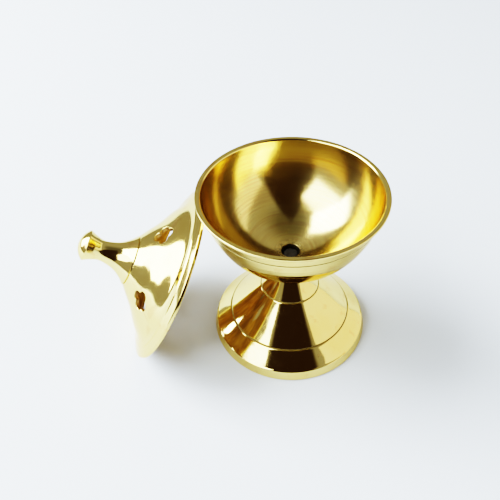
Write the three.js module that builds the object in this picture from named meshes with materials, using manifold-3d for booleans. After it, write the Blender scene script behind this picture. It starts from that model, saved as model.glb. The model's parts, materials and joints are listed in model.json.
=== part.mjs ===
// Footed brass table censer with a loose, pierced lid, drawn in millimetres with +Z up.
// The bowl stands on its foot. The lid leans on its rim beside the bowl, knob pointing away.
import * as THREE from 'three';
import { mergeVertices } from 'three/addons/utils/BufferGeometryUtils.js';
import Module from 'manifold-3d';

const wasm = await Module();
wasm.setup();

// Driving dimensions
const RIM_RADIUS = 40;            // outer radius of the bowl's lip
const RIM_HEIGHT = 82;            // height of the bowl's rim above the table
const RIM_RING = 1.8;             // width of the flat ring on top of the lip
const RIM_BEVEL = 0.5;            // bevel between the rim's flat ring and the inside
const LIP_DROP = 1.4;             // height of the lip's outer edge
const BAND_HEIGHT = 11.3;         // from the rim down to the lower edge of the turned band
const BAND_FOOT_RADIUS = 35.9;    // radius of the bowl at the band's lower edge
const BOWL_UNDERSIDE = 44;        // height of the lowest point of the bowl's outer curve
const BOWL_FLOOR = 48;            // height of the bowl's inside floor
const SEAT_HEIGHT = 43.5;         // height of the joint between bowl and foot
const SEAT_RADIUS = 9;            // radius of the bowl's boss on that joint

const FOOT_RADIUS = 37.2;
const FOOT_EDGE_HEIGHT = 4.8;     // height of the upright edge of the foot
const FOOT_WALL = 2.3;
const FOOT_RING = 3.2;            // width of the flat ring that the foot stands on
const WEB_UNDERSIDE = 29;         // height of the web that the bolt clamps against

const BOLT_RADIUS = 3.8;
const BOLT_HOLE_RADIUS = 4.1;
const BOLT_END_DEPTH = 1.8;       // how far the end of the bolt lies below the bowl's floor
const BOLT_HEAD_RADIUS = 7.4;     // over the corners of the hexagon
const BOLT_HEAD_HEIGHT = 5.3;
const WASHER_RADIUS = 8;
const WASHER_THICKNESS = 1.6;

const LID_RADIUS = 40.6;
const LID_EDGE = 1.4;             // height of the lid's outer edge
const LID_WALL = 1.8;
const LID_RING = 2.8;             // width of the flat ring that sits on the bowl's rim
const LID_SEAT_HEIGHT = 18.9;     // height of the finial's seat above the lid's rim plane
const LID_SEAT_RADIUS = 12;
const LID_LEAN = THREE.MathUtils.degToRad(29.5);   // rise of the lid's axis above the table
const LID_STAND_OFF = 56.35;      // from the bowl's axis to the centre of the leaning rim

const KNOB_RADIUS = 7.1;
const NECK_RADIUS = 4.75;
const FINIAL_TOP = 43.2;          // height of the finial's crown above the lid's rim plane
const SCREW_RADIUS = 2.2;
const SCREW_HOLE_RADIUS = 2.5;
const SCREW_HEAD_RADIUS = 4.6;
const SCREW_HEAD_HEIGHT = 2.6;
const SCREW_DEPTH = 9;            // how far the finial screw reaches into the finial

const PIERCING_COUNT = 4;
const PIERCING_RADIUS = 21.6;     // distance of each piercing's centre from the lid's axis
const PIERCING_TILT = THREE.MathUtils.degToRad(35);   // between its cut and the lid's axis
const LOBE_RADIUS = 2.5;
const LOBE_OFFSET = 2.5;

const GROOVE_WIDTH = 0.7;
const GROOVE_DEPTH = 0.35;
const GAP = 0.3;                  // clearance kept between pieces that meet
const FINE = 48;                  // sides of the large turned pieces
const COARSE = 32;                // sides of the small turned pieces

const at = (radius, height) => new THREE.Vector2(radius, height);

// Arc about a centre on the axis, through two given points, both ends included.
function axisArc(from, to, steps) {
  const rise = from.y - to.y;
  const centre = (from.lengthSq() - to.lengthSq()) / (2 * rise);
  const radius = Math.hypot(from.x, from.y - centre);
  const start = Math.atan2(from.y - centre, from.x);
  const sweep = Math.atan2(to.y - centre, to.x) - start;
  return Array.from({ length: steps + 1 }, (_, i) => {
    const angle = start + (sweep * i) / steps;
    return at(radius * Math.cos(angle), centre + radius * Math.sin(angle));
  });
}

// Smooth curve through the points, sampled evenly.
const smooth = (points, steps) => new THREE.SplineCurve(points).getPoints(steps);

// The outline moved sideways by a distance, to its left when it is walked forwards.
function offset(outline, distance) {
  return outline.map((point, i) => {
    const before = outline[Math.max(i - 1, 0)];
    const after = outline[Math.min(i + 1, outline.length - 1)];
    const along = after.clone().sub(before).normalize();
    return at(point.x - along.y * distance, point.y + along.x * distance);
  });
}

// Three points of a V-shaped engraved line, centred between two points of a rising outline.
function engraved(before, after) {
  const along = after.clone().sub(before).normalize();
  const inward = at(-along.y, along.x).multiplyScalar(GROOVE_DEPTH);
  const middle = before.clone().add(after).multiplyScalar(0.5);
  const half = along.multiplyScalar(GROOVE_WIDTH / 2);
  return [middle.clone().sub(half), middle.clone().add(inward), middle.clone().add(half)];
}

function lathe(outline, sides, closed = true) {
  const points = closed ? [...outline, outline[0]] : outline;
  return new THREE.LatheGeometry(points, sides);
}

function brass(colour, roughness) {
  return new THREE.MeshStandardMaterial({ color: colour, roughness, metalness: 1 });
}
const polished = brass(0xe3c878, 0.1);
const steel = new THREE.MeshStandardMaterial({ color: 0x5c5d60, roughness: 0.4, metalness: 1 });

function piece(name, geometry, material) {
  const mesh = new THREE.Mesh(geometry, material);
  mesh.name = name;
  return mesh;
}

function toSolid(geometry) {
  const bare = geometry.clone();
  bare.deleteAttribute('normal');
  bare.deleteAttribute('uv');
  const merged = mergeVertices(bare, 1e-4);
  return new wasm.Manifold(new wasm.Mesh({
    numProp: 3,
    vertProperties: new Float32Array(merged.attributes.position.array),
    triVerts: new Uint32Array(merged.index.array),
  }));
}

function fromSolid(solid) {
  const mesh = solid.getMesh();
  const geometry = new THREE.BufferGeometry();
  geometry.setAttribute('position', new THREE.BufferAttribute(mesh.vertProperties, 3));
  geometry.setIndex(new THREE.BufferAttribute(mesh.triVerts, 1));
  geometry.computeVertexNormals();
  return geometry;
}

// Hollow turned foot: flat ring, upright edge, trumpet cone, neck and a bored web.
function footGeometry() {
  const cone = smooth([
    at(FOOT_RADIUS - 1.6, FOOT_EDGE_HEIGHT + 0.3), at(28.6, 11.4), at(20.9, 19.2),
    at(13.6, 27.1), at(9.2, 33), at(7.4, 37.4), at(8.2, 41.2),
  ], 12);
  const outerLine = engraved(cone[2], cone[3]);
  const innerLine = engraved(cone[6], cone[7]);
  const wallBelow = cone.filter((point) => point.y < WEB_UNDERSIDE - 3);
  const inside = offset(wallBelow, FOOT_WALL).reverse();
  return lathe([
    at(FOOT_RADIUS - 0.4, 0), at(FOOT_RADIUS, 0.6), at(FOOT_RADIUS - 1.1, FOOT_EDGE_HEIGHT),
    ...cone.slice(0, 3), ...outerLine, ...cone.slice(3, 7), ...innerLine, ...cone.slice(7),
    at(SEAT_RADIUS, SEAT_HEIGHT - GAP), at(BOLT_HOLE_RADIUS, SEAT_HEIGHT - GAP),
    at(BOLT_HOLE_RADIUS, WEB_UNDERSIDE), at(WASHER_RADIUS + 0.8, WEB_UNDERSIDE),
    ...inside, at(FOOT_RADIUS - FOOT_RING, 0),
  ], FINE);
}

// Cast and turned bowl: lip, engraved band, round underside, boss and tapped hole.
function bowlGeometry() {
  const underLip = at(RIM_RADIUS - RIM_RING + 0.2, RIM_HEIGHT - LIP_DROP - 0.5);
  const bandFoot = at(BAND_FOOT_RADIUS, RIM_HEIGHT - BAND_HEIGHT);
  const belowBand = at(BAND_FOOT_RADIUS - 0.3, RIM_HEIGHT - BAND_HEIGHT - 0.25);
  const pole = at(0, BOWL_UNDERSIDE);
  const underside = axisArc(belowBand, pole, 12).filter((point) => point.x > SEAT_RADIUS);
  const insideTop = at(RIM_RADIUS - RIM_RING - RIM_BEVEL, RIM_HEIGHT - RIM_BEVEL);
  const inside = axisArc(insideTop, at(BOLT_HOLE_RADIUS, BOWL_FLOOR), 10).reverse();
  return lathe([
    at(BOLT_HOLE_RADIUS, SEAT_HEIGHT), at(SEAT_RADIUS, SEAT_HEIGHT),
    at(SEAT_RADIUS, BOWL_UNDERSIDE + 1.3), ...underside.reverse(), bandFoot,
    ...engraved(bandFoot, underLip), underLip,
    at(RIM_RADIUS - 0.3, RIM_HEIGHT - LIP_DROP), at(RIM_RADIUS, RIM_HEIGHT - LIP_DROP + 0.4),
    at(RIM_RADIUS, RIM_HEIGHT - 0.3), at(RIM_RADIUS - 0.3, RIM_HEIGHT),
    at(RIM_RADIUS - RIM_RING, RIM_HEIGHT), ...inside.reverse(),
  ], FINE);
}

// Hexagon bolt: head inside the foot, shank up through the web and into the bowl's floor.
function boltMesh() {
  const headTop = WEB_UNDERSIDE - WASHER_THICKNESS - 2 * GAP;
  const shankEnd = BOWL_FLOOR - BOLT_END_DEPTH;
  const hexagon = new THREE.CylinderGeometry(
    BOLT_HEAD_RADIUS, BOLT_HEAD_RADIUS, BOLT_HEAD_HEIGHT, 6,
  ).rotateX(Math.PI / 2).translate(0, 0, headTop - BOLT_HEAD_HEIGHT / 2);
  const shank = lathe([
    at(0, headTop - 1), at(BOLT_RADIUS, headTop - 1), at(BOLT_RADIUS, shankEnd - 0.8),
    at(BOLT_RADIUS - 0.8, shankEnd), at(0, shankEnd),
  ], COARSE, false).rotateX(Math.PI / 2);
  return piece('centre_bolt', fromSolid(toSolid(hexagon).add(toSolid(shank))), steel);
}

function washerGeometry() {
  const top = WEB_UNDERSIDE - GAP;
  return lathe([
    at(BOLT_HOLE_RADIUS, top - WASHER_THICKNESS), at(WASHER_RADIUS, top - WASHER_THICKNESS),
    at(WASHER_RADIUS, top), at(BOLT_HOLE_RADIUS, top),
  ], COARSE);
}

// Quatrefoil cutter: four round lobes that meet on the diagonals, extruded along its own axis.
function quatrefoilCutter() {
  const notch = (LOBE_OFFSET + Math.sqrt(2 * LOBE_RADIUS ** 2 - LOBE_OFFSET ** 2)) / 2;
  const spread = Math.atan2(notch, notch - LOBE_OFFSET);
  const outline = new THREE.Shape();
  for (let lobe = 0; lobe < 4; lobe += 1) {
    const heading = (lobe * Math.PI) / 2;
    outline.absarc(
      LOBE_OFFSET * Math.cos(heading), LOBE_OFFSET * Math.sin(heading), LOBE_RADIUS,
      heading - spread, heading + spread, false,
    );
  }
  const depth = 14;
  const settings = { depth, bevelEnabled: false, curveSegments: 6 };
  return new THREE.ExtrudeGeometry(outline, settings).translate(0, 0, -depth / 2);
}

// Ogee shell with a flanged rim, a flat crown for the finial and a ring of piercings.
function lidShell() {
  const step = at(LID_RADIUS - 4.3, 3.1);
  const ogee = smooth([
    step, at(32.6, 4.4), at(27.4, 8), at(20.8, 12), at(15.6, 16),
    at(LID_SEAT_RADIUS, LID_SEAT_HEIGHT - 0.2),
  ], 12);
  const inside = offset(ogee.slice(1, -1), LID_WALL).reverse();
  const shell = lathe([
    at(LID_RADIUS - 0.2, 0), at(LID_RADIUS, 0.2), at(LID_RADIUS, LID_EDGE),
    at(LID_RADIUS - 3.7, 2.7), ...ogee, at(LID_SEAT_RADIUS - 0.3, LID_SEAT_HEIGHT),
    at(SCREW_HOLE_RADIUS, LID_SEAT_HEIGHT), at(SCREW_HOLE_RADIUS, LID_SEAT_HEIGHT - 2.1),
    at(LID_SEAT_RADIUS - 3, LID_SEAT_HEIGHT - 2.1), ...inside, at(LID_RADIUS - LID_RING, 0),
  ], FINE).rotateX(Math.PI / 2);
  let solid = toSolid(shell);
  for (let i = 0; i < PIERCING_COUNT; i += 1) {
    const cutter = quatrefoilCutter().rotateY(PIERCING_TILT)
      .translate(PIERCING_RADIUS, 0, 11.5).rotateZ((i * 2 * Math.PI) / PIERCING_COUNT);
    solid = solid.subtract(toSolid(cutter));
  }
  return piece('lid_shell', fromSolid(solid), polished);
}

// Solid turned finial: flared foot, slim neck and domed knob, tapped from below.
function finialGeometry() {
  const base = LID_SEAT_HEIGHT + GAP;
  const trumpet = smooth([
    at(LID_SEAT_RADIUS - 0.4, base + 0.4), at(8.9, 22), at(6.3, 26), at(NECK_RADIUS, 32),
    at(5.4, 35.6), at(KNOB_RADIUS - 0.2, 39.1),
  ], 12);
  const crown = axisArc(at(KNOB_RADIUS - 0.2, 39.9), at(0, FINIAL_TOP), 5);
  return lathe([
    at(0, base + SCREW_DEPTH + 1), at(SCREW_HOLE_RADIUS, base + SCREW_DEPTH),
    at(SCREW_HOLE_RADIUS, base), at(LID_SEAT_RADIUS - 0.5, base),
    ...trumpet, at(KNOB_RADIUS, 39.5), ...crown,
  ], COARSE, false);
}

// Pan-head screw that holds the finial from inside the lid.
function finialScrewGeometry() {
  const under = LID_SEAT_HEIGHT - 2.1 - GAP;
  const tip = LID_SEAT_HEIGHT + SCREW_DEPTH - 0.6;
  return lathe([
    at(0, under - SCREW_HEAD_HEIGHT), at(SCREW_HEAD_RADIUS - 1.2, under - SCREW_HEAD_HEIGHT),
    at(SCREW_HEAD_RADIUS, under - SCREW_HEAD_HEIGHT + 1.2), at(SCREW_HEAD_RADIUS, under),
    at(SCREW_RADIUS, under), at(SCREW_RADIUS, tip - 0.6), at(SCREW_RADIUS - 0.6, tip),
    at(0, tip),
  ], COARSE, false);
}

const upright = (geometry) => geometry.rotateX(Math.PI / 2);

const stand = new THREE.Group();
stand.add(
  piece('foot', upright(footGeometry()), polished),
  piece('bowl', upright(bowlGeometry()), polished),
  piece('bolt_washer', upright(washerGeometry()), steel),
  boltMesh(),
);

const lid = new THREE.Group();
lid.add(
  lidShell(),
  piece('finial', upright(finialGeometry()), polished),
  piece('finial_screw', upright(finialScrewGeometry()), polished),
);
lid.rotation.y = LID_LEAN - Math.PI / 2;
lid.position.x = -LID_STAND_OFF;
lid.position.z = -new THREE.Box3().setFromObject(lid, true).min.z;

// The origin lies under the middle of the whole set, on the table.
const censer = new THREE.Group();
censer.add(stand, lid);
censer.updateMatrixWorld(true);
const extent = new THREE.Box3().setFromObject(censer, true);
censer.position.set(-(extent.min.x + extent.max.x) / 2, 0, 0);

export default censer;
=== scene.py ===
"""Footed brass table censer: a bowl on a flared foot, and its pierced lid leaning on the rim.

The fine meshes repeat the outlines of the CAD parts, in millimetres about each part's own axis,
and each one is stood where the frame says that its part is.
"""
import json
import math

import bmesh
import bpy
import numpy as np
from mathutils import Matrix, Vector


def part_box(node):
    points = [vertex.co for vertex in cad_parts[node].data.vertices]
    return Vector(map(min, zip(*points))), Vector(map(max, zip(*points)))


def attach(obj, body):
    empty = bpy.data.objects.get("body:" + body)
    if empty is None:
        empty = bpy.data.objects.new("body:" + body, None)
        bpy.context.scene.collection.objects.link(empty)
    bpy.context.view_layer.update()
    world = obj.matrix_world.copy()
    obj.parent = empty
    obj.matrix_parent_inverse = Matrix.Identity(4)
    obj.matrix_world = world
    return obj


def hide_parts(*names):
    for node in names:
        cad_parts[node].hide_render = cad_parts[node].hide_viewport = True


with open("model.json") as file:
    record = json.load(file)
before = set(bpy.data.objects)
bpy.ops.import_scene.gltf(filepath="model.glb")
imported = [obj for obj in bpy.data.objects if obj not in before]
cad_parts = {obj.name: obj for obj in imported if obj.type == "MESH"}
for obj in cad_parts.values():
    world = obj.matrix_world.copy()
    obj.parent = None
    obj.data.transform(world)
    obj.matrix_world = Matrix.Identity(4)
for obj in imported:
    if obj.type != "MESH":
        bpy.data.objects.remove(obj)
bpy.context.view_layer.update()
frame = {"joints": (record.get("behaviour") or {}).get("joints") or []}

MM = 0.001
SIDES = 288                      # facets round the bowl, foot and lid
SMALL_SIDES = 96                 # facets round the finial and the fasteners

# ---------------------------------------------------------------- places that the frame gives

bowl_low, bowl_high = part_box("bowl")
foot_low, foot_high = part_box("foot")
shell_low, shell_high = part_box("lid_shell")
bolt_low, bolt_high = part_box("centre_bolt")
washer_low, washer_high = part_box("bolt_washer")

BOWL_AXIS = Vector(((bowl_low.x + bowl_high.x) / 2, 0, 0))
RIM_RADIUS = (bowl_high.x - bowl_low.x) / 2 / MM
RIM_HEIGHT = bowl_high.z / MM
FOOT_RADIUS = (foot_high.x - foot_low.x) / 2 / MM
FOOT_TOP = foot_high.z / MM
BOWL_SEAT = bowl_low.z / MM
LID_RADIUS = (shell_high.y - shell_low.y) / 2 / MM
LID_EASE = 0.2                   # the eased edge that the lid stands on
LID_AXIS = Vector(next(j["axis"] for j in frame["joints"] if j["name"] == "lid_lift")).normalized()
LID_CENTRE = Vector((
    shell_high.x - (LID_RADIUS - LID_EASE) * LID_AXIS.z * MM, 0,
    shell_low.z - (LID_RADIUS * LID_AXIS.x + LID_EASE * LID_AXIS.z) * MM,
))

# ---------------------------------------------------------------- sizes, in millimetres

BOWL_UNDERSIDE = 44
BOWL_FLOOR = 48
BAND_HEIGHT = 11.3
BAND_FOOT_RADIUS = 35.9
RIM_RING = 1.8
RIM_BEVEL = 0.5
SEAT_RADIUS = 9
HOLE_RADIUS = 4.1
FOOT_WALL = 2.3
FOOT_RING = 3.2
WEB_UNDERSIDE = 29
LID_EDGE = 1.4
LID_FLANGE = 3.7                 # width of the flange outside the ogee
LID_FLANGE_TOP = 2.7
LID_WALL = 1.8
LID_RING = 2.8
LID_SEAT_HEIGHT = 18.9
LID_SEAT_RADIUS = 12
LID_PLATE = 2.1
KNOB_RADIUS = 7.1
FINIAL_TOP = 43.19               # just under the CAD crown, so that the finer curve stays inside it
FINIAL_GAP = 0.08                # the joint line between the lid and the finial
SCREW_HOLE_RADIUS = 2.5
SCREW_DEPTH = 9
PIERCING_COUNT = 4
PIERCING_RADIUS = 21.6
PIERCING_HEIGHT = 11.5
PIERCING_TILT = math.radians(35)
LOBE_RADIUS = 2.5
LOBE_OFFSET = 2.5
LOBE_EASE = 0.35
GROOVE_WIDTH = 0.7
GROOVE_DEPTH = 0.3


# ---------------------------------------------------------------- outlines

def arc(centre, radius, start, end, steps):
    """Points of a circular arc in the outline's plane, angles in radians."""
    turns = [start + (end - start) * i / steps for i in range(steps + 1)]
    return [(centre[0] + radius * math.cos(t), centre[1] + radius * math.sin(t)) for t in turns]


def axis_arc(first, last, steps):
    """Arc from first to last about a centre on the axis."""
    centre = (first[0] ** 2 - last[0] ** 2 + first[1] ** 2 - last[1] ** 2) / (2 * (first[1] - last[1]))
    radius = math.hypot(first[0], first[1] - centre)
    start = math.atan2(first[1] - centre, first[0])
    end = math.atan2(last[1] - centre, last[0])
    return arc((0, centre), radius, start, end, steps)


def curve_point(points, t):
    """Place and direction on the Catmull-Rom curve through the points; t counts the spans."""
    span = min(int(t), len(points) - 2)
    t -= span
    padded = [points[0], *points, points[-1]]
    a, b, c, d = padded[span:span + 4]
    place = tuple(
        0.5 * (2 * q + (r - p) * t + (2 * p - 5 * q + 4 * r - s) * t * t + (3 * q - p - 3 * r + s) * t ** 3)
        for p, q, r, s in zip(a, b, c, d)
    )
    heading = tuple(
        0.5 * ((r - p) + 2 * (2 * p - 5 * q + 4 * r - s) * t + 3 * (3 * q - p - 3 * r + s) * t * t)
        for p, q, r, s in zip(a, b, c, d)
    )
    size = math.hypot(*heading)
    return place, (heading[0] / size, heading[1] / size)


def smooth(points, steps, wall=0.0):
    """The curve through the points, moved to its left by wall, with this many steps in each span."""
    curve = []
    for i in range((len(points) - 1) * steps + 1):
        (r, z), (dr, dz) = curve_point(points, i / steps)
        curve.append((r - dz * wall, z + dr * wall))
    return curve


def straight(first, last, steps):
    return [tuple(a + (b - a) * i / steps for a, b in zip(first, last)) for i in range(steps + 1)]


def engrave(outline, height):
    """Cuts a round-bottomed line into an outline that rises past a height."""
    i = next(k for k in range(len(outline) - 1) if outline[k][1] <= height < outline[k + 1][1])
    (r0, z0), (r1, z1) = outline[i], outline[i + 1]
    middle = (r0 + (r1 - r0) * (height - z0) / (z1 - z0), height)
    size = math.hypot(r1 - r0, z1 - z0)
    along = ((r1 - r0) / size, (z1 - z0) / size)
    cut = []
    for t in (-1, -0.85, -0.6, -0.3, 0, 0.3, 0.6, 0.85, 1):
        sink = GROOVE_DEPTH * (0.5 + 0.5 * math.cos(math.pi * t))
        cut.append((middle[0] + along[0] * t * GROOVE_WIDTH / 2 - along[1] * sink,
                    middle[1] + along[1] * t * GROOVE_WIDTH / 2 + along[0] * sink))
    clear = GROOVE_WIDTH * 0.55
    below = [p for p in outline[:i + 1] if math.dist(p, middle) > clear]
    above = [p for p in outline[i + 1:] if math.dist(p, middle) > clear]
    return below + cut + above


def eased(points, reach, steps=4):
    """Rounds each inner corner of an open outline, starting at most reach from it."""
    out = [points[0]]
    for before, corner, after in zip(points, points[1:], points[2:]):
        into, onward = math.dist(before, corner), math.dist(corner, after)
        cut = min(reach, into / 2.1, onward / 2.1)
        first = tuple(c + (b - c) / into * cut for b, c in zip(before, corner))
        last = tuple(c + (a - c) / onward * cut for a, c in zip(after, corner))
        for i in range(steps + 1):
            t = i / steps
            out.append(tuple((1 - t) ** 2 * p + 2 * t * (1 - t) * c + t * t * q
                             for p, c, q in zip(first, corner, last)))
    return [*out, points[-1]]


# ---------------------------------------------------------------- meshes

class Shape:
    """Vertices and faces of one piece about its own axis, with what its materials read."""

    def __init__(self):
        self.points = []         # millimetres
        self.runs = []           # distance along the outline
        self.true = {}           # exact surface direction where it is known
        self.faces = []
        self.finishes = []

    def point(self, place, run, true=None):
        self.points.append(tuple(place))
        self.runs.append(run)
        if true is not None:
            self.true[len(self.points) - 1] = Vector(true).normalized()
        return len(self.points) - 1

    def face(self, corners, finish):
        corner = [v for i, v in enumerate(corners) if v not in corners[:i]]
        if len(corner) > 2:
            self.faces.append(corner)
            self.finishes.append(finish)

    def strip(self, low, high, finish, skip=()):
        for k in range(len(low)):
            if k not in skip:
                n = (k + 1) % len(low)
                self.face([low[k], low[n], high[n], high[k]], finish)

    def ring(self, radius, height, run=0.0, sides=SMALL_SIDES):
        """A loop of vertices whose radius and height are functions of the angle."""
        turns = [2 * math.pi * k / sides for k in range(sides)]
        return [self.point((radius(t) * math.cos(t), radius(t) * math.sin(t), height(t)), run)
                for t in turns]

    def skin(self, rings, finish):
        for low, high in zip(rings, rings[1:]):
            self.strip(low, high, finish)

    def revolve(self, sections, sides, closed=True, skip=lambda row, column: False):
        """Turns an outline, given as (points, finish) sections, and returns its rings of vertices."""
        outline = [(p, finish) for points, finish in sections for p in points]
        rings, run, last = [], 0.0, outline[0][0]
        for (r, z), _ in outline:
            run += math.dist(last, (r, z))
            last = (r, z)
            if r < 1e-6:
                rings.append([self.point((0, 0, z), run)] * sides)
                continue
            turns = [2 * math.pi * k / sides for k in range(sides)]
            rings.append([self.point((r * math.cos(t), r * math.sin(t), z), run) for t in turns])
        pairs = list(zip(rings, rings[1:])) + ([(rings[-1], rings[0])] if closed else [])
        for row, (low, high) in enumerate(pairs):
            gaps = [k for k in range(sides) if skip(row, k)]
            self.strip(low, high, outline[row][1], set(gaps))
        return rings

    def build(self, name, where, materials, crease=32):
        """Makes the object, standing where the matrix says, with the exact directions set."""
        mesh = bpy.data.meshes.new(name)
        mesh.from_pydata([tuple(c * MM for c in p) for p in self.points], [], self.faces)
        mesh.polygons.foreach_set("material_index", self.finishes)
        own = mesh.attributes.new("own", "FLOAT_VECTOR", "POINT")
        own.data.foreach_set("vector", [c for p in self.points for c in p])
        run = mesh.attributes.new("run", "FLOAT", "POINT")
        run.data.foreach_set("value", self.runs)
        for material in materials:
            mesh.materials.append(material)
        mesh.transform(where)
        bm = bmesh.new()
        bm.from_mesh(mesh)
        bmesh.ops.recalc_face_normals(bm, faces=bm.faces)
        for edge in bm.edges:
            edge.smooth = edge.calc_face_angle(0) < math.radians(crease)
        for face in bm.faces:
            face.smooth = True
        bm.to_mesh(mesh)
        bm.free()
        if self.true:
            turn = where.to_3x3()
            corners = [c.vector.copy() for c in mesh.corner_normals]
            for i, loop in enumerate(mesh.loops):
                true = self.true.get(loop.vertex_index)
                if true is not None:
                    side = (turn @ true).dot(corners[i])
                    if abs(side) > 0.9:
                        corners[i] = turn @ true * math.copysign(1, side)
            mesh.normals_split_custom_set(corners)
        piece = bpy.data.objects.new(name, mesh)
        bpy.context.scene.collection.objects.link(piece)
        return piece


def placed(axis, centre):
    """Matrix that stands a part's own +Z along axis, with its origin at centre."""
    up = axis.normalized()
    side = Vector((0, 1, 0))
    front = side.cross(up).normalized()
    turn = Matrix((front, side, up)).transposed().to_4x4()
    return Matrix.Translation(centre) @ turn


def stand_for(piece, node, body):
    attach(piece, body)
    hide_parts(node)
    return piece


STAND = placed(Vector((0, 0, 1)), BOWL_AXIS)
LID = placed(LID_AXIS, LID_CENTRE)


# ---------------------------------------------------------------- node helpers

class Tree:
    """Short calls for wiring one node tree."""

    def __init__(self, tree):
        self.tree = tree

    def node(self, kind, **settings):
        made = self.tree.nodes.new(kind)
        for key, value in settings.items():
            setattr(made, key, value)
        return made

    def put(self, socket, value):
        if isinstance(value, bpy.types.NodeSocket):
            self.tree.links.new(value, socket)
        else:
            socket.default_value = value

    def math(self, operation, *values, clamp=False):
        made = self.node("ShaderNodeMath", operation=operation, use_clamp=clamp)
        for socket, value in zip(made.inputs, values):
            self.put(socket, value)
        return made.outputs[0]

    def scale(self, value, factor, add=0.0):
        return self.math("MULTIPLY_ADD", value, factor, add)

    def step(self, value, low, high, first=0.0, last=1.0):
        """Eased change from first to last while value goes from low to high."""
        made = self.node("ShaderNodeMapRange", interpolation_type="SMOOTHSTEP")
        for name, number in (("Value", value), ("From Min", low), ("From Max", high),
                             ("To Min", first), ("To Max", last)):
            self.put(made.inputs[name], number)
        return made.outputs["Result"]

    def vector(self, x, y, z):
        made = self.node("ShaderNodeCombineXYZ")
        for socket, value in zip(made.inputs, (x, y, z)):
            self.put(socket, value)
        return made.outputs[0]

    def split(self, vector):
        made = self.node("ShaderNodeSeparateXYZ")
        self.put(made.inputs[0], vector)
        return made.outputs[0], made.outputs[1], made.outputs[2]

    def noise(self, vector, scale=1.0, detail=2.0, roughness=0.5, distortion=0.0):
        made = self.node("ShaderNodeTexNoise")
        for name, value in (("Vector", vector), ("Scale", scale), ("Detail", detail),
                            ("Roughness", roughness), ("Distortion", distortion)):
            self.put(made.inputs[name], value)
        return made.outputs[0]

    def mix(self, factor, first, last):
        made = self.node("ShaderNodeMix", data_type="RGBA")
        self.put(made.inputs[0], factor)
        self.put(made.inputs[6], first)
        self.put(made.inputs[7], last)
        return made.outputs[2]


def rgb(r, g, b):
    return (r, g, b, 1.0)


class Metal(Tree):
    """A metal's node tree, with its tint at grazing angles and the coordinates of its patterns."""

    def __init__(self, name, grazing):
        self.material = bpy.data.materials.new(name)
        self.material.use_nodes = True
        super().__init__(self.material.node_tree)
        self.shader = self.tree.nodes["Principled BSDF"]
        self.shader.inputs["Metallic"].default_value = 1.0
        self.shader.inputs["Specular Tint"].default_value = grazing
        self.own = self.node("ShaderNodeAttribute", attribute_name="own").outputs["Vector"]
        self.run = self.node("ShaderNodeAttribute", attribute_name="run").outputs["Fac"]
        self.x, self.y, self.z = self.split(self.own)
        self.r = self.math("SQRT", self.math("ADD", self.math("MULTIPLY", self.x, self.x),
                                             self.math("MULTIPLY", self.y, self.y)))

    def rings(self, pitch, drift=0.08, detail=2.0):
        """Noise drawn out into fine rings about the axis; pitch is their spacing."""
        return self.noise(self.vector(self.scale(self.run, 1 / pitch), self.scale(self.x, drift),
                                      self.scale(self.y, drift)), 1.0, detail)

    def scratches(self, across, along, turn, sparse):
        """Thin straight marks that run one way, where the noise passes sparse."""
        c, s = math.cos(turn), math.sin(turn)
        u = self.math("ADD", self.scale(self.x, c), self.scale(self.y, s))
        v = self.math("SUBTRACT", self.scale(self.y, c), self.scale(self.x, s))
        marks = self.noise(self.vector(self.scale(u, across), self.scale(v, along),
                                       self.scale(self.z, along)), 1.0, 1.0)
        return self.step(marks, sparse, sparse + 0.05)

    def pits(self, spacing, size, rarity):
        """Small round pits on a scattered few of the cells of a 3-D pattern, all in millimetres."""
        cells = self.node("ShaderNodeTexVoronoi")
        self.put(cells.inputs["Vector"], self.own)
        self.put(cells.inputs["Scale"], 1 / spacing)
        red, _, _ = self.split(cells.outputs["Color"])
        chosen = self.step(red, rarity, rarity + 0.01)
        near = self.step(cells.outputs["Distance"], 0.5 * size / spacing, size / spacing, 1.0, 0.0)
        return self.math("MULTIPLY", chosen, near)

    def bump(self, height, depth, normal=None):
        """Relief in millimetres: depth is the height of a full step of the pattern."""
        made = self.node("ShaderNodeBump")
        self.put(made.inputs["Strength"], 1.0)
        self.put(made.inputs["Distance"], depth * MM)
        self.put(made.inputs["Height"], height)
        if normal is not None:
            self.put(made.inputs["Normal"], normal)
        return made.outputs[0]

    def finish(self, colour, roughness, normal):
        self.put(self.shader.inputs["Base Color"], colour)
        self.put(self.shader.inputs["Roughness"], roughness)
        self.put(self.shader.inputs["Normal"], normal)
        return self.material


GOLD = rgb(0.82, 0.62, 0.20)
DEEP_GOLD = rgb(0.77, 0.52, 0.12)
TURNED_GOLD = rgb(0.50, 0.27, 0.07)
DULL_BRASS = rgb(0.23, 0.12, 0.035)
AMBER = rgb(0.70, 0.42, 0.13)
# near black: soot round the hole in the bowl's floor, and painted shade on the hole's wall and the bolt's
# end
SOOT_AND_SHADE = rgb(0.03, 0.024, 0.016)
COMPOUND = rgb(0.10, 0.07, 0.03)
PIT_DARK = rgb(0.12, 0.09, 0.04)
# Tints at grazing angles, where metal would otherwise turn white
BRASS_GRAZING = rgb(0.93, 0.87, 0.68)
DULL_GRAZING = rgb(0.42, 0.26, 0.08)
STEEL_GRAZING = rgb(0.80, 0.80, 0.80)


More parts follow.
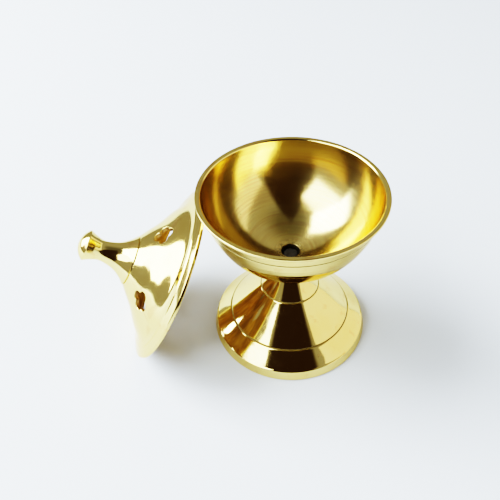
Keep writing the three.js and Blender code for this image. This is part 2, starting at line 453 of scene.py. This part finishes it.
def polished_brass(name, grooves=(), blur=0.05, filled=0.75):
    """Buffed brass: faint turning rings, wandering polish marks, a few dull smears and amber stains."""
    m = Metal(name, BRASS_GRAZING)
    cloud = m.noise(m.own, 0.055, 3.0, 0.55)
    colour = m.mix(m.step(cloud, 0.42, 0.72, 0.0, 0.45), GOLD, DEEP_GOLD)
    stain = m.step(m.noise(m.own, 0.13, 5.0, 0.62, 0.5), 0.54, 0.64)
    colour = m.mix(m.scale(stain, 0.6), colour, AMBER)
    fine = m.rings(0.35)
    smear = m.step(m.noise(m.own, 0.16, 4.0, 0.6, 0.6), 0.56, 0.72)
    marks = m.math("MAXIMUM", m.scratches(3.2, 0.05, 0.5, 0.70), m.scratches(2.6, 0.04, 2.0, 0.71))
    pits = m.pits(6.0, 0.16, 0.8)
    colour = m.mix(m.scale(pits, 0.7), colour, PIT_DARK)
    roughness = m.math("ADD", m.scale(smear, 0.05, blur), m.scale(marks, 0.06))
    roughness = m.math("ADD", roughness, m.scale(stain, 0.07))
    for height in grooves:
        depth = m.step(m.math("ABSOLUTE", m.math("SUBTRACT", m.z, height)), 0.16, 0.36, 1.0, 0.0)
        colour = m.mix(m.scale(depth, filled), colour, COMPOUND)
        roughness = m.math("ADD", roughness, m.scale(depth, 0.3))
    wave = m.bump(m.noise(m.own, 0.12, 2.0), 0.018)
    return m.finish(colour, roughness, m.bump(fine, 0.0016, wave))


def brushed_brass(name):
    """Turned and satin-brushed brass: close rings about the axis that draw out the highlights."""
    m = Metal(name, BRASS_GRAZING)
    cloud = m.noise(m.own, 0.07, 3.0, 0.5)
    broad = m.rings(1.6, 0.03)
    fine = m.rings(0.22, 0.12, 3.0)
    pits = m.pits(7.0, 0.3, 0.82)
    colour = m.mix(m.step(cloud, 0.4, 0.7, 0.0, 0.5), GOLD, DEEP_GOLD)
    colour = m.mix(m.step(m.rings(0.8, 0.04), 0.42, 0.68, 0.0, 0.6), colour, AMBER)
    colour = m.mix(m.scale(pits, 0.85), colour, PIT_DARK)
    ash = m.noise(m.own, 0.9, 4.0, 0.7)
    halo = m.step(m.r, HOLE_RADIUS, HOLE_RADIUS + 4.5, 1.0, 0.0)
    # soot from the burning incense, in a patchy ring round the hole in the bowl's floor
    soot_and_hole_shade = m.math("MULTIPLY", halo, m.step(ash, 0.40, 0.62))
    # painted shade: the wall of the hole is coloured near black, standing in for the dark down the hole
    wall = m.step(m.r, HOLE_RADIUS + 0.1, HOLE_RADIUS + 0.3, 1.0, 0.0)
    # this mask joins the real soot with the painted shade of the hole's wall
    soot_and_hole_shade = m.math("MAXIMUM", m.scale(soot_and_hole_shade, 0.7), m.scale(wall, 0.95))
    colour = m.mix(soot_and_hole_shade, colour, SOOT_AND_SHADE)
    roughness = m.math("ADD", m.scale(fine, 0.11, 0.075), m.scale(broad, 0.05))
    roughness = m.math("ADD", roughness, m.scale(soot_and_hole_shade, 0.25))
    m.shader.inputs["Anisotropic"].default_value = 0.6
    m.shader.inputs["Anisotropic Rotation"].default_value = 0.25
    tangent = m.node("ShaderNodeTangent", direction_type="RADIAL", axis="Z")
    m.put(m.shader.inputs["Tangent"], tangent.outputs[0])
    relief = m.bump(pits, -0.04, m.bump(broad, 0.009))
    return m.finish(colour, roughness, m.bump(fine, 0.005, relief))


def turned_brass(name):
    """Inside faces left as turned: tool rings, duller and a little oxidised."""
    m = Metal(name, DULL_GRAZING)
    cloud = m.noise(m.own, 0.12, 4.0, 0.6)
    tool = m.rings(0.5, 0.04, 1.0)
    colour = m.mix(m.step(cloud, 0.30, 0.62), TURNED_GOLD, DULL_BRASS)
    roughness = m.math("ADD", m.scale(cloud, 0.25, 0.22), m.scale(tool, 0.15))
    return m.finish(colour, roughness, m.bump(tool, 0.02))


def steel(name):
    """Zinc-grey steel with a mottled, stained face; its end, up in the bowl's hole, is painted near black
    as shade for the hole.
    """
    m = Metal(name, STEEL_GRAZING)
    cloud = m.noise(m.own, 0.5, 4.0, 0.6)
    colour = m.mix(m.step(cloud, 0.35, 0.7), rgb(0.36, 0.35, 0.33), rgb(0.16, 0.13, 0.10))
    marks = m.scratches(4.0, 0.2, 0.9, 0.66)
    # painted shade: above the bowl's underside the bolt's end, down the hole, is coloured near black and
    # made rougher
    painted_hole_shade = m.step(m.z, BOWL_UNDERSIDE - 1, BOWL_UNDERSIDE + 1, 0.0, 0.9)
    colour = m.mix(painted_hole_shade, colour, SOOT_AND_SHADE)
    roughness = m.math("ADD", m.scale(cloud, 0.3, 0.2), m.scale(marks, 0.15))
    roughness = m.math("ADD", roughness, m.scale(painted_hole_shade, 0.15))
    return m.finish(colour, roughness, m.bump(m.noise(m.own, 3.0, 3.0), 0.02, m.bump(m.rings(0.3), 0.01)))


POLISHED, INNER, CUT = 0, 1, 2

# ---------------------------------------------------------------- foot

FOOT_LINES = (11.5, 27.1)


def make_foot():
    cone = [(FOOT_RADIUS - 1.6, 5.1), (28.6, 11.4), (20.9, 19.2), (13.6, 27.1), (9.2, 33),
            (7.4, 37.4), (8.2, 41.2)]
    outside = smooth(cone, 12)
    inside = [p for p in smooth(cone, 6, FOOT_WALL) if p[1] < WEB_UNDERSIDE - 3][::-1]
    for height in FOOT_LINES:
        outside = engrave(outside, height)
    edge = eased([(FOOT_RADIUS - FOOT_RING, 0), (FOOT_RADIUS - 0.2, 0), (FOOT_RADIUS, 0.8),
                  (FOOT_RADIUS - 1.1, 4.8), outside[0], outside[1]], 0.4)[:-1]
    neck = eased([outside[-1], (SEAT_RADIUS, FOOT_TOP), (HOLE_RADIUS, FOOT_TOP)], 0.35)
    shape = Shape()
    shape.revolve([
        ([*edge, *outside[1:-1], *neck], POLISHED),
        ([(HOLE_RADIUS, WEB_UNDERSIDE), (SEAT_RADIUS - 0.2, WEB_UNDERSIDE), *inside], INNER),
    ], SIDES)
    return stand_for(shape.build("foot_turned", STAND, [foot_brass, inner_brass]),
                     "foot", "stand")


# ---------------------------------------------------------------- bowl

BAND_LINE = RIM_HEIGHT - 6.4


def make_bowl():
    band_foot = (BAND_FOOT_RADIUS, RIM_HEIGHT - BAND_HEIGHT)
    band_top = (RIM_RADIUS - RIM_RING + 0.2, RIM_HEIGHT - 1.9)
    under = axis_arc((BAND_FOOT_RADIUS - 0.3, band_foot[1] - 0.25), (0, BOWL_UNDERSIDE), 48)
    under = [p for p in under if p[0] > SEAT_RADIUS + 0.3][::-1]
    band = engrave(straight(band_foot, band_top, 24), BAND_LINE)
    band = [*eased([under[-1], band[0], band[1]], 0.12, 2)[1:-1], *band[1:-1]]
    lip = eased([band_top, (RIM_RADIUS - 0.35, RIM_HEIGHT - 1.35), (RIM_RADIUS, RIM_HEIGHT - 0.9),
                 (RIM_RADIUS, RIM_HEIGHT), (RIM_RADIUS - RIM_RING, RIM_HEIGHT)], 0.4, 5)
    inside_top = (RIM_RADIUS - RIM_RING - RIM_BEVEL, RIM_HEIGHT - RIM_BEVEL)
    inside = axis_arc(inside_top, (HOLE_RADIUS, BOWL_FLOOR), 64)
    bevel = eased([lip[-2], lip[-1], inside[0], inside[1]], 0.25, 4)[1:-1]
    hole = eased([inside[-2], inside[-1], (HOLE_RADIUS, BOWL_SEAT)], 0.25, 3)[1:-1]
    shape = Shape()
    shape.revolve([
        ([(HOLE_RADIUS, BOWL_SEAT), (SEAT_RADIUS, BOWL_SEAT), (SEAT_RADIUS, BOWL_UNDERSIDE + 1.3),
          *under, *band, *lip[:-1]], POLISHED),
        ([*bevel, *inside[1:-1], *hole], INNER),
    ], SIDES)
    return stand_for(shape.build("bowl_turned", STAND, [bowl_brass, satin_brass]),
                     "bowl", "stand")


# ---------------------------------------------------------------- lid and finial

OGEE = [(LID_RADIUS - 4.3, 3.1), (32.6, 4.4), (27.4, 8), (20.8, 12), (15.6, 16),
        (LID_SEAT_RADIUS, LID_SEAT_HEIGHT - 0.2)]
OGEE_STEPS = 12
PATCH_ROWS = (26, 46)            # rows of the ogee that a piercing's patch replaces
PATCH_REACH = 14                 # columns on each side of a piercing


def quatrefoil(angle, grow):
    """Distance from a piercing's centre to its edge, grown by a margin."""
    off = (angle + math.pi / 4) % (math.pi / 2) - math.pi / 4
    lobe = LOBE_RADIUS + grow
    return LOBE_OFFSET * math.cos(off) + math.sqrt(lobe ** 2 - (LOBE_OFFSET * math.sin(off)) ** 2)


class LidSide:
    """The outer or inner curve of the lid, as a surface that a straight cut can meet."""

    def __init__(self, wall):
        self.wall = wall
        self.t = np.linspace(0, len(OGEE) - 1, 1200)
        places = np.array([self.at(t)[0] for t in self.t])
        self.r, self.z = places[::-1, 0], places[::-1, 1]

    def at(self, t):
        (r, z), (dr, dz) = curve_point(OGEE, t)
        return (r - dz * self.wall, z + dr * self.wall), (-dz, dr)

    def vertex(self, shape, turn, t, run):
        (r, z), (nr, nz) = self.at(t)
        c, s = math.cos(turn), math.sin(turn)
        return shape.point((r * c, r * s, z), run + t * 6, (nr * c, nr * s, nz))

    def meet(self, origin, heading):
        """Turn and t where a line meets the surface."""
        low, high = -8.0, 8.0
        for _ in range(40):
            middle = (low + high) / 2
            p = origin + heading * middle
            above = p.z > np.interp(math.hypot(p.x, p.y), self.r, self.z)
            low, high = (low, middle) if above else (middle, high)
        p = origin + heading * low
        t = float(np.interp(math.hypot(p.x, p.y), self.r, self.t[::-1]))
        return math.atan2(p.y, p.x), t, low


def pierce(shape, outer, inner, rings_out, rings_in, column):
    """Fills a gap in both surfaces with a patch round one piercing, and makes its wall."""
    turn = Matrix.Rotation(2 * math.pi * column / SIDES, 3, "Z")
    centre = Vector((PIERCING_RADIUS, 0, PIERCING_HEIGHT))
    heading = Vector((math.sin(PIERCING_TILT), 0, math.cos(PIERCING_TILT)))
    down = Vector((math.cos(PIERCING_TILT), 0, -math.sin(PIERCING_TILT)))
    first, last = PATCH_ROWS
    low, high = -PATCH_REACH, PATCH_REACH
    edge = ([(first, k) for k in range(low, high)] + [(j, high) for j in range(first, last)]
            + [(last, k) for k in range(high, low, -1)] + [(j, low) for j in range(last, first, -1)])
    places = []
    for row, k in edge:
        (r, z), _ = outer.at(row / OGEE_STEPS)
        a = 2 * math.pi * k / SIDES
        places.append(Vector((r * math.cos(a), r * math.sin(a), z)) - centre)
    angles = [math.atan2(p.y, p.dot(down)) for p in places]
    for quarter in range(4):
        notch = math.remainder(math.pi / 4 + quarter * math.pi / 2, 2 * math.pi)
        near = min(range(len(angles)),
                   key=lambda i: abs(math.remainder(angles[i] - notch, 2 * math.pi)))
        angles[near] = notch

    def cut(side, grow):
        """Where the outline, grown by a margin, meets one surface."""
        met = []
        for angle in angles:
            reach = quatrefoil(angle, grow)
            spot = centre + down * (reach * math.cos(angle)) + Vector((0, reach * math.sin(angle), 0))
            met.append((spot, *side.meet(spot, heading)))
        return met

    def patch(side, rings, grow, finish, rows):
        outline = cut(side, grow)
        facet = 2 * math.pi / SIDES
        bands = []
        for i in range(rows):
            share = (i / rows) ** 1.2
            bands.append([
                side.vertex(shape, a + (facet * k - a) * share + facet * column,
                            t + (row / OGEE_STEPS - t) * share, 0)
                for (_, a, t, _), (row, k) in zip(outline, edge)
            ])
        bands.append([rings[row][(column + k) % SIDES] for row, k in edge])
        for near, far in zip(bands, bands[1:]):
            shape.strip(near, far, finish)
        return bands[0]

    top = patch(outer, rings_out, LOBE_EASE, POLISHED, 6)
    bottom = patch(inner, rings_in, 0.0, INNER, 4)
    levels = [top]
    steps = 5
    for i in range(1, steps + 1):
        lean = math.pi / 2 * i / steps
        grow, sink = LOBE_EASE * (1 - math.sin(lean)), LOBE_EASE * (1 - math.cos(lean))
        levels.append([shape.point(turn @ (spot + heading * (reach - sink)), sink)
                       for spot, _, _, reach in cut(outer, grow)])
    ends = [Vector(shape.points[v]) for v in bottom]
    starts = [Vector(shape.points[v]) for v in levels[-1]]
    for share in (0.25, 0.5, 0.75):
        levels.append([shape.point(a.lerp(b, share), LOBE_EASE + share) for a, b in zip(starts, ends)])
    levels.append(bottom)
    for i, (near, far) in enumerate(zip(levels, levels[1:])):
        shape.strip(near, far, POLISHED if i < steps else CUT)


def make_lid_shell():
    outer, inner = LidSide(0.0), LidSide(LID_WALL)
    rows = (len(OGEE) - 1) * OGEE_STEPS
    ogee = smooth(OGEE, OGEE_STEPS)
    inside = smooth(OGEE, OGEE_STEPS, LID_WALL)
    top = [p for p in inside if p[1] < LID_SEAT_HEIGHT - LID_PLATE - 0.1]
    start = 4
    edge = eased([(LID_RADIUS - LID_RING, 0), (LID_RADIUS - LID_EASE, 0), (LID_RADIUS, LID_EASE),
                  (LID_RADIUS, LID_EDGE), (LID_RADIUS - LID_FLANGE, LID_FLANGE_TOP),
                  ogee[0], ogee[1]], 0.35)[:-1]
    seat = eased([ogee[-2], ogee[-1], (LID_SEAT_RADIUS - 0.4, LID_SEAT_HEIGHT),
                  (SCREW_HOLE_RADIUS, LID_SEAT_HEIGHT)], 0.2)[1:]
    sections = [
        (edge, POLISHED),
        ([*ogee[1:-1], *seat], POLISHED),
        ([(SCREW_HOLE_RADIUS, LID_SEAT_HEIGHT - LID_PLATE), *reversed(inside[start:len(top)])], INNER),
    ]
    first_out = len(edge) - 1
    first_in = sum(len(s[0]) for s in sections)
    gaps_out = {first_out + j for j in range(*PATCH_ROWS)}
    gaps_in = {first_in - (j - start) - 2 for j in range(*PATCH_ROWS)}
    columns = {(SIDES // PIERCING_COUNT * i + k) % SIDES
               for i in range(PIERCING_COUNT) for k in range(-PATCH_REACH, PATCH_REACH)}
    shape = Shape()
    gaps = gaps_out | gaps_in
    rings = shape.revolve(sections, SIDES, skip=lambda row, column: column in columns and row in gaps)
    rings_out = {j: rings[first_out + j] for j in range(rows)}
    rings_in = {j: rings[first_in - (j - start) - 1] for j in range(start, len(top))}
    for side, named in ((outer, rings_out), (inner, rings_in)):
        for j, ring in named.items():
            if 2 <= j <= rows - 2:
                _, (nr, nz) = side.at(j / OGEE_STEPS)
                for k, v in enumerate(ring):
                    a = 2 * math.pi * k / SIDES
                    shape.true[v] = Vector((nr * math.cos(a), nr * math.sin(a), nz))
    for i in range(PIERCING_COUNT):
        pierce(shape, outer, inner, rings_out, rings_in, SIDES // PIERCING_COUNT * i)
    return stand_for(shape.build("lid_turned", LID, [lid_brass, inner_brass, inner_brass]),
                     "lid_shell", "lid")


def make_finial():
    base = LID_SEAT_HEIGHT + FINIAL_GAP
    body = smooth([(LID_SEAT_RADIUS - 0.4, base + 0.4), (8.9, 22), (6.3, 26), (4.75, 32),
                   (5.4, 35.6), (6.9, 39.1)], 12)
    crown_edge = (KNOB_RADIUS - 0.2, 39.9)
    knob = eased([body[-2], body[-1], (KNOB_RADIUS, 39.5), crown_edge], 0.25)
    crown = axis_arc(crown_edge, (0, FINIAL_TOP), 16)
    shape = Shape()
    shape.revolve([
        ([(0, base + SCREW_DEPTH + 1), (SCREW_HOLE_RADIUS, base + SCREW_DEPTH),
          (SCREW_HOLE_RADIUS, base)], INNER),
        ([(LID_SEAT_RADIUS - 0.55, base), *body[:-1], *knob[1:-1], *crown], POLISHED),
    ], SMALL_SIDES * 2, closed=False)
    return stand_for(shape.build("finial_turned", LID, [lid_brass, inner_brass]),
                     "finial", "lid")


# ---------------------------------------------------------------- fasteners

BOLT_RADIUS = 3.8
BOLT_FLAT = 7.4 * math.cos(math.pi / 6)          # half the width across the head's flats
BOLT_HEAD_HEIGHT = 5.3
CHAMFER_SLOPE = 0.577            # rise of the 30 degree chamfer on the head
THREAD_PITCH = 1.25
THREAD_DEPTH = 0.38
THREAD_ROWS = 10                 # rows of faces in one turn of the thread
SCREW_RADIUS = 2.2
SCREW_HEAD_RADIUS = 4.6
SCREW_HEAD_HEIGHT = 2.6
SCREW_GAP = 0.3
SCREW_PITCH = 0.8
SCREW_THREAD_DEPTH = 0.22


def level(value):
    return lambda turn: value


def hexagon(flat):
    """Radius of a hexagon by angle; its flats face 0, 60, 120 degrees and so on."""
    return lambda turn: flat / math.cos((turn + math.pi / 6) % (math.pi / 3) - math.pi / 6)


def cross(reach, half):
    """Radius of a cross recess by angle: two bars of a half length and a half width."""
    def radius(turn):
        c, s = abs(math.cos(turn)) + 1e-9, abs(math.sin(turn)) + 1e-9
        return max(min(reach / c, half / s), min(reach / s, half / c))
    return radius


def thread(shape, radius, depth, pitch, low, high):
    """Rings of a screw thread between two heights, fading out at both ends."""
    rows = round((high - low) / pitch * THREAD_ROWS)
    rings = []
    for row in range(rows + 1):
        z = low + (high - low) * row / rows
        fade = min(1.0, (z - low) / pitch, (high - z) / pitch)

        def reach(turn, z=z, fade=fade):
            phase = (z / pitch - turn / (2 * math.pi)) % 1
            return radius - depth * fade * min(1.0, max(0.0, 1.6 - 4 * abs(phase - 0.5)))
        rings.append(shape.ring(reach, level(z), z))
    return rings


def make_bolt():
    """Hexagon bolt: chamfered head below, threaded shank and bevelled end above."""
    low = bolt_low.z / MM
    top = low + BOLT_HEAD_HEIGHT
    end = bolt_high.z / MM
    hexagonal = hexagon(BOLT_FLAT)
    face = BOLT_FLAT - 0.35
    shape = Shape()
    head = [
        [shape.point((0, 0, low + 0.3), 0)] * SMALL_SIDES,
        shape.ring(level(3.4), level(low + 0.3), 3.4),
        shape.ring(level(3.8), level(low), 4),
        shape.ring(level(face), level(low), 6),
        shape.ring(hexagonal, lambda turn: low + (hexagonal(turn) - face) * CHAMFER_SLOPE, 7),
        shape.ring(hexagonal, level(top - 0.2), 11),
        shape.ring(hexagon(BOLT_FLAT - 0.2), level(top), 11.3),
        shape.ring(level(BOLT_RADIUS), level(top), 14),
    ]
    shank = thread(shape, BOLT_RADIUS, THREAD_DEPTH, THREAD_PITCH, top + 0.8, end - 0.8)
    tip = [
        shape.ring(level(BOLT_RADIUS - 0.8), level(end), end),
        [shape.point((0, 0, end), end)] * SMALL_SIDES,
    ]
    shape.skin([*head, *shank, *tip], POLISHED)
    return stand_for(shape.build("bolt_threaded", STAND, [zinc_steel]),
                     "centre_bolt", "stand")


def make_washer():
    low, high = washer_low.z / MM, washer_high.z / MM
    outer = (washer_high.x - washer_low.x) / 2 / MM
    outline = eased([(HOLE_RADIUS + 1, low), (HOLE_RADIUS, low), (HOLE_RADIUS, high), (outer, high),
                     (outer, low), (HOLE_RADIUS + 1, low)], 0.25)[:-1]
    shape = Shape()
    shape.revolve([(outline[1:], POLISHED)], SMALL_SIDES)
    return stand_for(shape.build("washer_pressed", STAND, [zinc_steel]),
                     "bolt_washer", "stand")


def make_finial_screw():
    """Pan-head screw with a cross recess, seen from inside the lid."""
    under = LID_SEAT_HEIGHT - LID_PLATE - SCREW_GAP
    low = under - SCREW_HEAD_HEIGHT
    tip = LID_SEAT_HEIGHT + SCREW_DEPTH - 0.6
    shape = Shape()
    recess = [
        [shape.point((0, 0, low + 1.6), 0)] * SMALL_SIDES,
        shape.ring(cross(0.9, 0.35), level(low + 1.4), 1),
        shape.ring(cross(2.2, 0.5), level(low + 0.1), 2),
        shape.ring(cross(2.3, 0.6), level(low), 2.2),
        shape.ring(level(2.9), level(low), 3),
    ]
    dome = [shape.ring(level(2.9 + (SCREW_HEAD_RADIUS - 2.9) * math.sin(lean)),
                       level(under - 0.8 - (SCREW_HEAD_HEIGHT - 0.8) * math.cos(lean)), 3 + lean)
            for lean in (math.pi / 2 * i / 8 for i in range(1, 9))]
    seat = [shape.ring(level(SCREW_HEAD_RADIUS), level(under), 6),
            shape.ring(level(SCREW_RADIUS), level(under), 8)]
    shank = thread(shape, SCREW_RADIUS, SCREW_THREAD_DEPTH, SCREW_PITCH, under + 0.4, tip - 0.6)
    end = [shape.ring(level(SCREW_RADIUS - 0.6), level(tip), tip),
           [shape.point((0, 0, tip), tip)] * SMALL_SIDES]
    shape.skin([*recess, *dome, *seat, *shank, *end], POLISHED)
    return stand_for(shape.build("finial_screw_cut", LID, [zinc_steel]),
                     "finial_screw", "lid")


# ---------------------------------------------------------------- materials and pieces

foot_brass = polished_brass("foot_brass", FOOT_LINES, 0.06)
bowl_brass = polished_brass("bowl_brass", (BAND_LINE,), 0.07, 0.97)
lid_brass = polished_brass("lid_brass", blur=0.09)
satin_brass = brushed_brass("satin_brass")
inner_brass = turned_brass("inner_brass")
zinc_steel = steel("zinc_steel")

make_foot()
make_bowl()
make_lid_shell()
make_finial()
make_bolt()
make_washer()
make_finial_screw()

# ---------------------------------------------------------------- floor, light and camera

scene = bpy.context.scene
scene.view_settings.view_transform = "Filmic"
scene.view_settings.look = "High Contrast"


FLOOR_REACH = 12                 # metres
FLOOR_COLOUR = rgb(0.79, 0.86, 0.91)


def make_floor():
    """One plain pale floor."""
    material = bpy.data.materials.new("floor_paper")
    material.use_nodes = True
    shader = material.node_tree.nodes["Principled BSDF"]
    shader.inputs["Base Color"].default_value = FLOOR_COLOUR
    shader.inputs["Roughness"].default_value = 0.8
    bm = bmesh.new()
    bmesh.ops.create_grid(bm, x_segments=24, y_segments=24, size=FLOOR_REACH)
    mesh = bpy.data.meshes.new("floor")
    bm.to_mesh(mesh)
    bm.free()
    mesh.materials.append(material)
    floor = bpy.data.objects.new("floor", mesh)
    scene.collection.objects.link(floor)


def towards(azimuth, elevation):
    """The unit vector at an azimuth from +X and an elevation, both in degrees."""
    a = math.radians(azimuth)
    e = math.radians(elevation)
    return Vector((math.cos(a) * math.cos(e), math.sin(a) * math.cos(e), math.sin(e)))


LIGHT_DISTANCE = 1.5             # metres
# Soft boxes, aimed at the object: azimuth and elevation in degrees, width and height in metres, light
SOFT_BOXES = [
    ("key", 163, 38, 0.75, 1.6, (16.5, 18.0, 20.0)),
    ("side", -155, 46, 1.2, 0.8, (8.0, 8.7, 9.6)),
    ("fill", -3, 18, 2.4, 1.2, (1.40, 1.26, 1.02)),
]
WALLS = rgb(0.36, 0.36, 0.34)
OVERHEAD = rgb(0.12, 0.12, 0.11)
OVERHEAD_RISE = (50, 78)         # degrees of elevation over which the walls fade into it
UNLIT = rgb(0.034, 0.020, 0.012)
UNLIT_AZIMUTH = -88              # the side without lights, where a photographer would stand
UNLIT_HALF = (33, 40)            # degrees to each side over which it fades into the walls


def add_soft_box(name, azimuth, elevation, width, height, glow):
    data = bpy.data.lights.new(name, "AREA")
    data.shape = "RECTANGLE"
    data.size = width
    data.size_y = height
    strength = max(glow)
    data.color = [channel / strength for channel in glow]
    data.energy = strength * width * height * math.pi
    box = bpy.data.objects.new(name, data)
    scene.collection.objects.link(box)
    away = towards(azimuth, elevation)
    box.location = BOWL_AXIS + away * LIGHT_DISTANCE
    box.rotation_euler = away.to_track_quat("Z", "Y").to_euler()
    box.visible_camera = False


def make_light():
    """Soft boxes in a plain surround that fades away on one side."""
    for box in SOFT_BOXES:
        add_soft_box(*box)
    world = bpy.data.worlds.new("studio")
    scene.world = world
    world.use_nodes = True
    t = Tree(world.node_tree)
    x, y, z = t.split(t.node("ShaderNodeTexCoord").outputs["Generated"])
    azimuth = t.scale(t.math("ARCTAN2", y, x), 180 / math.pi)
    away = t.math("ABSOLUTE", t.math("WRAP", t.scale(azimuth, 1, -UNLIT_AZIMUTH), 180.0, -180.0))
    elevation = t.scale(t.math("ARCSINE", z), 180 / math.pi)
    lit = t.mix(t.step(elevation, *OVERHEAD_RISE), WALLS, OVERHEAD)
    colour = t.mix(t.step(away, *UNLIT_HALF), UNLIT, lit)
    t.put(world.node_tree.nodes["Background"].inputs["Color"], colour)


FOCAL = 40.17                    # millimetres, on a 36 mm wide sensor
CAMERA_AT = Vector((-0.3423, -4.489, 5.6007))    # in rim radii from the foot of the bowl's axis
HEADING, TILT, ROLL = -0.0253, 0.7728, -0.0453   # radians


def add_camera():
    data = bpy.data.cameras.new("camera")
    data.lens = FOCAL
    data.sensor_width = 36
    data.clip_start = 0.01
    camera = bpy.data.objects.new("camera", data)
    scene.collection.objects.link(camera)
    forward = Vector((math.sin(HEADING) * math.cos(TILT), math.cos(HEADING) * math.cos(TILT),
                      -math.sin(TILT)))
    right = Vector((math.cos(HEADING), -math.sin(HEADING), 0))
    up = right.cross(forward)
    side = right * math.cos(ROLL) + up * math.sin(ROLL)
    top = up * math.cos(ROLL) - right * math.sin(ROLL)
    turn = Matrix((side, top, -forward)).transposed().to_4x4()
    camera.matrix_world = Matrix.Translation(BOWL_AXIS + CAMERA_AT * RIM_RADIUS * MM) @ turn
    scene.camera = camera


make_floor()
make_light()
add_camera()
